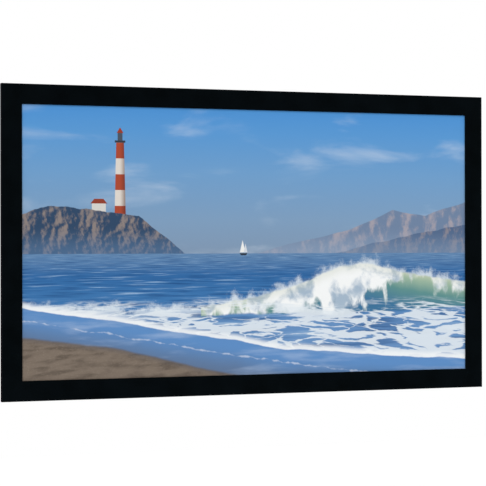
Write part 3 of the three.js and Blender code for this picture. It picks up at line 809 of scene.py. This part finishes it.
# %% Beach
SWASH = [(0.0, 0.27), (0.25, 0.2), (0.55, 0.11), (0.8, 0.07), (1.0, 0.05)]
OLD_SWASH = [(0.0, 0.225), (0.2, 0.165), (0.45, 0.085), (0.7, 0.02), (0.8, 0.0)]
DRY_SAND = [(0.0, 0.17), (0.2, 0.125), (0.42, 0.03), (0.52, 0.0)]


def paint_lace(tree, view, picture):
    warp = put(tree, "TexNoise", {"Vector": view["plan"], "Scale": 2.2, "Detail": 5.0}, out=1)
    pushed = put(tree, "VectorMath", {0: warp, 1: (0.9, 0.9, 0.0)}, operation="MULTIPLY")
    spot = put(tree, "VectorMath", [view["plan"], pushed], operation="ADD")
    holes = put(tree, "TexVoronoi", {"Vector": spot, "Scale": 5.0}, feature="DISTANCE_TO_EDGE")
    patches = put(tree, "TexNoise", {"Vector": view["plan"], "Scale": 1.6, "Detail": 4.0})
    wall = put(tree, "MapRange", {"Value": patches, "From Min": 0.35, "From Max": 0.7, "To Max": 0.42})
    lace = put(tree, "Math", [wall, holes], operation="SUBTRACT")
    near = put(tree, "MapRange", {"Value": view["up"], "From Min": 0.3, "From Max": 0.2})
    kept = put(tree, "Math", [lace, near], operation="MULTIPLY")
    return paint(tree, picture, linear("e6eef4"), kept, 0.0, 0.1, 0.85)


def paint_beach(tree, view, picture):
    picture = paint_lace(tree, view, picture)
    rim = below_edge(tree, view, SWASH, 0.035, 0.25, 7.0)
    wet = paint(tree, linear("5e8ec6"), linear("5f7697"), rim, 0.02, 0.13)
    gleam = put(tree, "Mapping", {"Vector": view["place"], "Scale": (0.15, 1, 1), "Rotation": (0, 0.2, 0)})
    gleams = put(tree, "TexNoise", {"Vector": gleam, "Scale": 22.0, "Detail": 4.0})
    wet = paint(tree, wet, linear("a9bedd"), gleams, 0.46, 0.75, 0.6)
    left_behind = below_edge(tree, view, OLD_SWASH, 0.035, 0.1, 8.0)
    line = put(tree, "Math", [left_behind], operation="ABSOLUTE")
    froth = put(tree, "TexNoise", {"Vector": view["place"], "Scale": 30.0, "Detail": 4.0})
    patchy = put(tree, "Math", [froth, -0.02, line], operation="MULTIPLY_ADD")
    wet = paint(tree, wet, linear("d3dbea"), patchy, -0.006, -0.012, 0.6)
    picture = paint(tree, picture, linear("f4f7f9"), rim, -0.028, -0.006, 0.9)
    picture = paint(tree, picture, wet, rim, -0.001, 0.004)

    grain = put(tree, "TexNoise", {"Vector": view["place"], "Scale": 260.0, "Detail": 3.0})
    tracks = put(tree, "TexNoise", {"Vector": view["plan"], "Scale": 9.0, "Detail": 5.0})
    sand = paint(tree, linear("7d7064"), linear("63584e"), tracks, 0.42, 0.68)
    sand = paint(tree, sand, linear("9c8f81"), grain, 0.55, 0.75, 0.6)
    dry = below_edge(tree, view, DRY_SAND, 0.02, 0.2, 9.0)
    sand = paint(tree, sand, linear("57565c"), dry, 0.03, 0.0, 0.7)
    return paint(tree, picture, sand, dry, 0.0, 0.012)


# %% [markdown]
# The real sheet is matt white PVC vinyl with a very fine emboss that spreads the light evenly.
# Here it gets the picture as its colour, hardly any gloss, and the emboss as a shallow bump. The
# emboss is a few tenths of a millimetre and is drawn 1.2 mm wide.

# %% Vinyl front
def vinyl_front():
    material, tree = new_material("matt_vinyl_picture", Roughness=0.85, Specular_IOR_Level=0.2)
    place = put(tree, "TexCoord", out=3)
    share = {"Location": (0.5, 0, 0.5), "Scale": (1 / SHEET_SIZE.x, 1, 1 / SHEET_SIZE.z)}
    shares = put(tree, "SeparateXYZ", [put(tree, "Mapping", {"Vector": place} | share)]).node.outputs
    view = {"place": place, "across": shares["X"], "up": shares["Z"]}
    view["plan"] = water_plan(tree, view["across"], view["up"])

    picture = paint_sky(tree, view)
    picture = paint_land(tree, view, picture, *FAR_RIDGE)
    picture = paint_land(tree, view, picture, *NEAR_RIDGE)
    picture = paint_tower(tree, view, picture)
    picture = paint_land(tree, view, picture, *HEADLAND)
    for painter in (paint_sea, paint_boat, paint_breaker, paint_beach):
        picture = painter(tree, view, picture)

    emboss = put(tree, "TexNoise", {"Vector": place, "Scale": 1 / (1.2 * MM), "Detail": 2.0})
    height = put(tree, "Bump", {"Height": emboss, "Strength": 0.15, "Distance": 0.1 * MM})
    wire(tree, Base_Color=picture, Normal=height)
    print("picture of", len(tree.nodes), "nodes")
    return material


VINYL_FRONT = vinyl_front()

# %% [markdown]
# The back of the sheet is the same vinyl in plain matt black, which keeps light from passing
# through. It shows a slight grain, like fine leather, from the roller that pressed it.

# %% Vinyl back
def vinyl_back():
    material, tree = new_material("black_vinyl_back", Roughness=0.6, Specular_IOR_Level=0.35)
    place = put(tree, "TexCoord", out=3)
    grain = put(tree, "TexNoise", {"Vector": place, "Scale": 1 / (1.6 * MM), "Detail": 3.0})
    patches = put(tree, "TexNoise", {"Vector": place, "Scale": 2.5, "Detail": 3.0})
    colour = put(tree, "ValToRGB", [patches], stops=[(0.35, "1e2023"), (0.65, "26282b")])
    height = put(tree, "Bump", {"Height": grain, "Strength": 0.35, "Distance": 0.1 * MM})
    wire(tree, Base_Color=colour, Normal=height)
    return material


VINYL_BACK = vinyl_back()

# %% [markdown]
# The sheet itself is a thin rectangle, stretched dead flat. It starts as a plane, gets its 0.6 mm
# of thickness from Solidify, and its cut edge is bevelled a hair so that it catches a little
# light. The faces that look back get the black side.

# %% Projection sheet
CUT_EDGE = 0.15 * MM


def stretched_sheet():
    centre = (sheet_low + sheet_high) / 2
    piece = upright_plane(SHEET_SIZE.x, SHEET_SIZE.z, (centre.x, sheet_low.y, centre.z))
    modify(piece, "SOLIDIFY", thickness=SHEET_SIZE.y, offset=-1)
    choose(piece, "EDGE", lambda middle, _: middle.y > sheet_high.y - 0.1 * MM)
    bpy.ops.mesh.bevel(offset=CUT_EDGE, segments=2)
    done(piece)
    hand_over(piece, "stretched_sheet", [VINYL_FRONT, VINYL_BACK], "vinyl_sheet", "projection_sheet")
    for face in piece.data.polygons:
        face.material_index = 0 if face.normal.y < -0.5 else 1
    return piece


sheet = stretched_sheet()

# %% [markdown]
# ## Rails
#
# The rails are extruded aluminium in mill finish: the die draws fine lines along the length, and
# the rest is a soft grey shine. The CAD rails already have the right section, so they only get
# their material, one for the rails that lie and one for those that stand.

# %% Extruded aluminium
def extruded_aluminium(name, stretch):
    material, tree = new_material(name, Metallic=1.0)
    place = put(tree, "TexCoord", out=3)
    drawn = put(tree, "Mapping", {"Vector": place, "Scale": stretch})
    lines = put(tree, "TexNoise", {"Vector": drawn, "Scale": 1 / (1.4 * MM), "Detail": 3.0})
    bloom = put(tree, "TexNoise", {"Vector": place, "Scale": 14.0, "Detail": 4.0})
    both = put(tree, "Math", [bloom, 0.5, lines], operation="MULTIPLY_ADD")
    colour = put(tree, "ValToRGB", [both], stops=[(0.5, "a4a7aa"), (1.0, "c3c5c7")])
    gloss = {"Value": lines, "From Min": 0.3, "From Max": 0.7, "To Min": 0.3, "To Max": 0.5}
    rough = put(tree, "MapRange", gloss)
    height = put(tree, "Bump", {"Height": lines, "Strength": 0.3, "Distance": 0.08 * MM})
    wire(tree, Base_Color=colour, Roughness=rough, Normal=height)
    return material


LYING_ALUMINIUM = extruded_aluminium("extruded_aluminium_lying", (0.01, 1, 1))
STANDING_ALUMINIUM = extruded_aluminium("extruded_aluminium_standing", (1, 1, 0.01))


def finish_node(node, material):
    """Gives a CAD node that keeps its shape a material in each of its slots."""
    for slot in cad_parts[node].material_slots:
        slot.material = material


for side in SIDES:
    finish_node(f"{side}_rail", LYING_ALUMINIUM if side in ("top", "bottom") else STANDING_ALUMINIUM)

# %% [markdown]
# ## Steel in the corners
#
# Keys, straps and nuts are stamped from sheet steel and zinc plated: a bright, faintly blue metal
# with soft clouds where the bath left it thicker. Set screws and button head bolts are black
# oxide steel, a thin matt black with a touch of oil.

# %% Steel materials
cloud_greys = [(0.35, "a9afb6"), (0.7, "cdd2d8")]
ZINC = treated_metal("zinc_plated_steel", 1.0, 9 * MM, 5.0, cloud_greys, (0.22, 0.5), relief=0.1)
oil_blacks = [(0.35, "121314"), (0.7, "25272a")]
BLACK_OXIDE = treated_metal("black_oxide_steel", 0.6, 3 * MM, 4.0, oil_blacks, (0.3, 0.55))

hardware = [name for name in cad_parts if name.endswith(("_key", "_channel_nut"))]
for name in hardware:
    finish_node(name, ZINC)
print("zinc plated:", ", ".join(sorted(hardware)))

# %% [markdown]
# ## Screws
#
# Set screws and bolts are drawn up from a disc, one extruded and scaled step after another. The
# thread is drawn as rings, 1 mm apart, which look the same at this size. The hexagon socket is
# cut last with a punch of six sides, as it is in the factory.

# %% Thread and socket
THREAD_PITCH = 1.0 * MM
THREAD_ROOT = 0.86  # as a share of the crest


def draw_up(rise, factor=1.0):
    """In edit mode, extrudes the selected face along Y and scales it about the axis."""
    extrude(y=rise)
    bpy.ops.transform.resize(value=(factor, 1, factor))


def draw_thread(turns, pitch):
    """In edit mode, draws the selected face up as a rod whose thread is a row of ridges."""
    for _ in range(turns):
        draw_up(0.5 * pitch, THREAD_ROOT)
        draw_up(0.5 * pitch, 1 / THREAD_ROOT)


def cut_away(piece, tool):
    """Cuts the shape of a tool out of a piece, and takes the tool away."""
    modify(piece, "BOOLEAN", object=tool, operation="DIFFERENCE")
    bpy.data.objects.remove(tool)


def broach_hexagon(piece, end, radius, depth):
    """Cuts a hexagon socket into the end of a piece on the Y axis, as with a hexagonal punch."""
    bpy.ops.mesh.primitive_cylinder_add(
        vertices=6, radius=radius, depth=2 * depth, location=(0, end, 0), rotation=(math.pi / 2, 0, 0)
    )
    cut_away(piece, bpy.context.object)


def axis_of(node):
    """Where a CAD node's axis along Y stands, as x and z."""
    low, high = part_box(node)
    return (low.x + high.x) / 2, (low.z + high.z) / 2


def put_in_place(pattern, nodes):
    """Puts a copy of a pattern in place of each CAD node, on the same axis."""
    for node in nodes:
        x, z = axis_of(node)
        copy = placed_copies(pattern, [Matrix.Translation((x, 0, z))])
        hand_over(copy, node + "_detail", [BLACK_OXIDE], "black_steel", node)
    print(nodes[0], "and", len(nodes) - 1, "more, each of", len(pattern.data.polygons), "faces")
    bpy.data.objects.remove(pattern)


# %% [markdown]
# A set screw has no head. It is a short threaded rod with a socket in one end, which stands on
# the channel's floor and presses the key against the channel's lips.

# %% Set screws
SCREW_POINT = 0.4 * MM
SCREW_CONE = 0.3 * MM
SCREW_TURNS = 5
SCREW_SOCKET = (1.73 * MM, 2.5 * MM)  # radius and depth


def set_screw_pattern(node):
    low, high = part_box(node)
    radius = (high.x - low.x) / 2
    screw = turned_disc(THREAD_ROOT * radius, low.y, low.y + SCREW_POINT, sides=24)
    draw_up(SCREW_CONE, 1 / THREAD_ROOT)
    draw_thread(SCREW_TURNS, THREAD_PITCH)
    draw_up(high.y - low.y - 2 * SCREW_POINT - SCREW_CONE - SCREW_TURNS * THREAD_PITCH)
    draw_up(SCREW_POINT, THREAD_ROOT)
    done(screw)
    broach_hexagon(screw, high.y, *SCREW_SOCKET)
    return screw


screws = [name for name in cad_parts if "_set_screw_" in name]
put_in_place(set_screw_pattern(screws[0]), screws)

# %% [markdown]
# A button head bolt has its socket in a low dome, raised ring by ring like the cap of a snap.
# Then the face under the head is inset to the shank's radius and drawn down as a threaded rod.

# %% Button head bolts
HEAD_RIM = 1.1 * MM
HEAD_RINGS = ((0.35, 0.65), (0.65, 0.6), (0.9, 0.5), (0.9, 0.27), (0.15, 0.08))  # as for the cap
HEAD_HEIGHT = HEAD_RIM + sum(rise for _, rise in HEAD_RINGS) * MM
SHANK_RADIUS = 3 * MM
BOLT_TURNS = 6
BOLT_POINT = 0.6 * MM
BOLT_SOCKET = (2.0 * MM, 1.8 * MM)


def bolt_pattern(node):
    low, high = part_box(node)
    radius = (high.x - low.x) / 2
    head = high.y - HEAD_HEIGHT
    bolt = turned_disc(radius, head, head + HEAD_RIM)
    raise_dome(HEAD_RINGS)
    choose(bolt, "FACE", lambda middle, normal: normal.y < -0.9 and middle.y < head + 0.1 * MM)
    bpy.ops.mesh.inset(thickness=radius - SHANK_RADIUS, depth=0)
    draw_up(low.y + BOLT_TURNS * THREAD_PITCH + BOLT_POINT - head)
    draw_thread(BOLT_TURNS, -THREAD_PITCH)
    draw_up(-BOLT_POINT, 0.8)
    done(bolt)
    broach_hexagon(bolt, high.y, *BOLT_SOCKET)
    return bolt


bolts = [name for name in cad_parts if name.endswith("_bolt")]
put_in_place(bolt_pattern(bolts[0]), bolts)

# %% [markdown]
# ## Bracing bar and straps
#
# The bar that keeps the long rails from bowing is steel tube with rounded edges, powder coated
# black: the powder melts into a satin skin with a faint orange peel. A cube loses its ends, its
# four long edges are bevelled, and Solidify gives the wall. Holes are cut with a Boolean, whose
# tool is a cylinder, as with a drill.

# %% Powder coat
def powder_coat_material():
    material, tree = new_material("black_powder_coat", Specular_IOR_Level=0.5)
    place = put(tree, "TexCoord", out=3)
    peel = put(tree, "TexNoise", {"Vector": place, "Scale": 1 / (2.2 * MM), "Detail": 2.0})
    dust = put(tree, "TexNoise", {"Vector": place, "Scale": 30.0, "Detail": 4.0})
    colour = put(tree, "ValToRGB", [dust], stops=[(0.4, "141517"), (0.7, "1c1d20")])
    rough = put(tree, "MapRange", {"Value": dust, "To Min": 0.34, "To Max": 0.52})
    height = put(tree, "Bump", {"Height": peel, "Strength": 0.4, "Distance": 0.15 * MM})
    wire(tree, Base_Color=colour, Roughness=rough, Normal=height)
    return material


POWDER_COAT = powder_coat_material()

# %% Bracing bar
TUBE_CORNER = 2.5 * MM
TUBE_WALL = 1.6 * MM
BOLT_HOLE = 3.3 * MM
BIT_LENGTH = 200 * MM  # longer than any piece is deep


def drill(piece, places, radius, reach=0.0):
    """Drills through a piece along Y. A reach to each side makes a slot of the hole."""
    for x, z in places:
        bpy.ops.mesh.primitive_cylinder_add(
            vertices=32, radius=radius, depth=BIT_LENGTH, location=(x, 0, z), rotation=(math.pi / 2, 0, 0)
        )
        bit = done(bpy.context.object)
        for end in (-1, 1):
            choose(bit, "VERT", lambda place, _: end * (place.x - x) > 0.01 * MM)
            bpy.ops.transform.translate(value=(end * reach, 0, 0))
        cut_away(piece, done(bit))


def bracing_tube():
    low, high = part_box("bracing_bar")
    bpy.ops.mesh.primitive_cube_add(size=1, location=(low + high) / 2)
    piece = bpy.context.object
    piece.scale = high - low
    done(piece)
    choose(piece, "FACE", lambda _, normal: abs(normal.z) > 0.9)
    bpy.ops.mesh.delete(type="FACE")
    choose(piece, "EDGE", lambda _, along: abs(along.z) > 0.9)
    bpy.ops.mesh.bevel(offset=TUBE_CORNER, segments=5)
    done(piece)
    modify(piece, "SOLIDIFY", thickness=TUBE_WALL, offset=-1, use_even_offset=True)
    drill(piece, [axis_of("top_strap_bar_bolt"), axis_of("bottom_strap_bar_bolt")], BOLT_HOLE)
    hand_over(piece, "bracing_tube", [POWDER_COAT], "black_paint", "bracing_bar")
    print("bar:", round((high.z - low.z) / MM, 1), "mm long")


bracing_tube()

# %% [markdown]
# The straps that clamp the bar are stamped plates. A plane gets round corners, by a bevel of its
# points, and is thickened and drilled. The rim that shows is softened, as a press leaves it.

# %% Straps
STRAP_CORNER = 4 * MM
STRAP_RIM = 0.35 * MM


def strap(side):
    low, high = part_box(f"{side}_bar_strap")
    size, centre = high - low, (low + high) / 2
    piece = upright_plane(size.x, size.z, (centre.x, low.y, centre.z))
    bpy.ops.object.mode_set(mode="EDIT")
    bpy.ops.mesh.select_all(action="SELECT")
    bpy.ops.mesh.bevel(offset=STRAP_CORNER, segments=6, affect="VERTICES")
    done(piece)
    modify(piece, "SOLIDIFY", thickness=size.y, offset=-1)
    drill(piece, [axis_of(f"{side}_strap_{part}_bolt") for part in ("rail", "bar")], BOLT_HOLE)
    choose(piece, "EDGE", lambda middle, along: middle.y > high.y - 0.1 * MM and abs(along.y) < 0.1)
    bpy.ops.mesh.bevel(offset=STRAP_RIM, segments=2)
    done(piece)
    hand_over(piece, f"{side}_strap_plate", [ZINC], "zinc_steel", f"{side}_bar_strap")
    print(side, "strap:", round(size.z / MM, 1), "mm long")


for side in ("top", "bottom"):
    strap(side)

# %% [markdown]
# ## Wall brackets
#
# The brackets are extruded aluminium, anodised: an even silver grey skin, duller than bare metal,
# with faint lines along the length, 1 mm apart.

# %% Anodised aluminium
silvers = [(0.3, "a9acae"), (0.7, "b8bbbd")]
along_x = (0.02, 1, 1)  # draws the patches out to lines
ANODISED = treated_metal("anodised_aluminium", 0.9, 1 * MM, 2.0, silvers, (0.38, 0.5), 0.2, along_x)

# %% [markdown]
# A bracket is a hook. Its tongue sits behind the lip of the rail's outer channel, a web comes
# back from it, and a plate with two slots lies on the wall. So a strip for the tongue is extruded
# twice along this path, its two folds are bevelled, Solidify gives the wall, and the slots are
# drilled. The top brackets' plates hang down from the web, and the bottom ones' stand up.

# %% Hooked brackets
BRACKET_WALL = 3 * MM
BRACKET_PLATE = 45 * MM
BRACKET_TONGUE = 8 * MM
OUTER_BEND = 3.4 * MM
INNER_BEND = 0.6 * MM
SLOT_MARGIN = 22 * MM  # from the bracket's end to the middle of a slot
SLOT_HEIGHTS = {True: 19 * MM, False: 26 * MM}  # above the bracket's lowest edge, top and bottom
SLOT_RADIUS = 3.5 * MM
SLOT_REACH = 8.5 * MM  # from the slot's middle to the middle of its round end


def wall_bracket(node):
    low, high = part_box(node)
    on_top = low.z > 0
    web = low.z + (BRACKET_PLATE - BRACKET_WALL if on_top else 0)
    back = high.y - (BRACKET_WALL if on_top else 0)
    centre, length = (low.x + high.x) / 2, high.x - low.x
    piece = upright_plane(length, BRACKET_TONGUE, (centre, low.y, web + BRACKET_TONGUE / 2))
    choose(piece, "EDGE", lambda middle, _: middle.z < web + 0.1 * MM)
    extrude(y=back - low.y)
    extrude(z=low.z - web if on_top else BRACKET_PLATE)
    for fold, radius in ((low.y, OUTER_BEND), (back, INNER_BEND if on_top else OUTER_BEND)):
        corner = Vector((centre, fold, web))
        choose(piece, "EDGE", lambda middle, _: (middle - corner).length < 0.01 * MM)
        bpy.ops.mesh.bevel(offset=radius, segments=4)
    done(piece)
    modify(piece, "SOLIDIFY", thickness=BRACKET_WALL, offset=-1, use_even_offset=True)
    slots = low.z + SLOT_HEIGHTS[on_top]
    places = [(centre + end * (length / 2 - SLOT_MARGIN), slots) for end in (-1, 1)]
    drill(piece, places, SLOT_RADIUS, reach=SLOT_REACH)
    hand_over(piece, node + "_hook", [ANODISED], "aluminium_bracket", node)
    print(node, round(length / MM), "mm, slots at", [round(x / MM, 1) for x, _ in places])


for name in sorted(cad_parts):
    if name.endswith("_wall_bracket"):
        wall_bracket(name)
